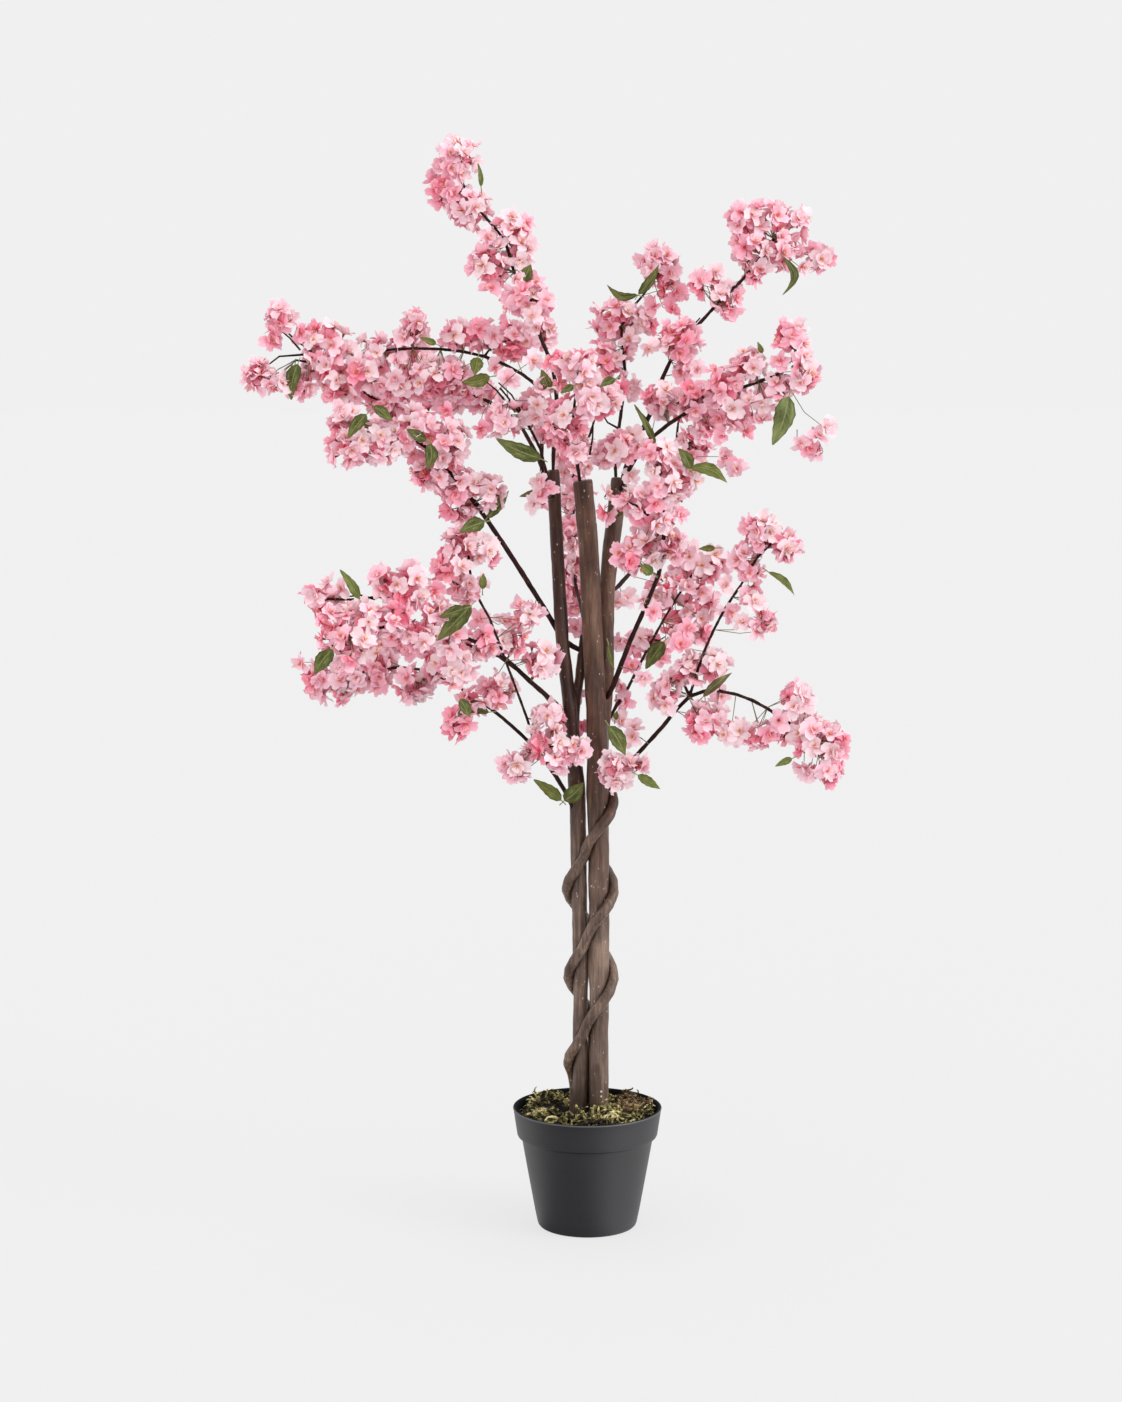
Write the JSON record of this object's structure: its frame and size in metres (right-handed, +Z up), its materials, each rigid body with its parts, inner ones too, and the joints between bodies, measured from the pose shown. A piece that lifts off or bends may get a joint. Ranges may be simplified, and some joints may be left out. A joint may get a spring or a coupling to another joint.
{
  "type": "potted artificial cherry tree",
  "caption": "Tall artificial cherry tree: cut wood poles bound with vine, wired branches of pink silk blossom and green leaves, dried moss over a weighted plastic pot.",
  "frame": {"origin": "centre of the pot's foot, on the floor", "axes": "+Z up along the poles, -Y towards the tree's front, +X to the right seen from the front"},
  "size_m": [0.6649, 0.3967, 1.2059],
  "materials": {
    "pot_plastic": "matte",
    "cement": "matte",
    "dried_moss": "matte",
    "bark": "matte",
    "vine_bark": "matte",
    "stem_wrap": "matte",
    "blossom_silk": "matte",
    "leaf_silk": "satin"
  },
  "bodies": {
    "root": {"pot": "pot_plastic", "pot_fill": "cement", "moss": "dried_moss", "trunk_left": "bark", "trunk_centre": "bark", "vine_first": "vine_bark", "vine_second": "vine_bark", "branch_left_long": "stem_wrap", "branch_left_mid": "stem_wrap", "branch_left_low": "stem_wrap", "branch_tall_left": "stem_wrap", "branch_flat_left": "stem_wrap", "branch_crown_left": "stem_wrap", "branch_crown_centre": "stem_wrap", "branch_tall_right": "stem_wrap", "branch_high_right": "stem_wrap", "branch_right_upper": "stem_wrap", "branch_right_mid": "stem_wrap", "branch_right_back": "stem_wrap", "branch_right_low": "stem_wrap", "branch_front": "stem_wrap", "branch_back_centre": "stem_wrap", "branch_back_right": "stem_wrap", "branch_back_left_high": "stem_wrap", "branch_back_left": "stem_wrap", "blossoms_left_long": "blossom_silk", "blossoms_left_rise": "blossom_silk", "blossoms_left_mid": "blossom_silk", "blossoms_low_left_inner": "blossom_silk", "blossoms_low_left_outer": "blossom_silk", "blossoms_low_left_spur": "blossom_silk", "blossoms_tall_left_tip": "blossom_silk", "blossoms_tall_left_mid": "blossom_silk", "blossoms_tall_left_low": "blossom_silk", "blossoms_flat_left_inner": "blossom_silk", "blossoms_flat_left_outer": "blossom_silk", "blossoms_crown_left": "blossom_silk", "blossoms_crown_centre": "blossom_silk", "blossoms_tall_right_tip": "blossom_silk", "blossoms_tall_right_mid": "blossom_silk", "blossoms_tall_right_low": "blossom_silk", "blossoms_high_right": "blossom_silk", "blossoms_high_right_tip": "blossom_silk", "blossoms_right_upper": "blossom_silk", "blossoms_crown_right": "blossom_silk", "blossoms_right_mid": "blossom_silk", "blossoms_right_back": "blossom_silk", "blossoms_right_low_inner": "blossom_silk", "blossoms_right_low": "blossom_silk", "blossoms_right_rise": "blossom_silk", "blossoms_front": "blossom_silk", "blossoms_back_centre": "blossom_silk", "blossoms_back_right": "blossom_silk", "blossoms_back_left_high": "blossom_silk", "blossoms_back_left": "blossom_silk", "leaf_low_left": "leaf_silk", "leaf_right_low": "leaf_silk", "leaf_right_back": "leaf_silk", "leaf_crown_left": "leaf_silk"}
  },
  "joints": []
}
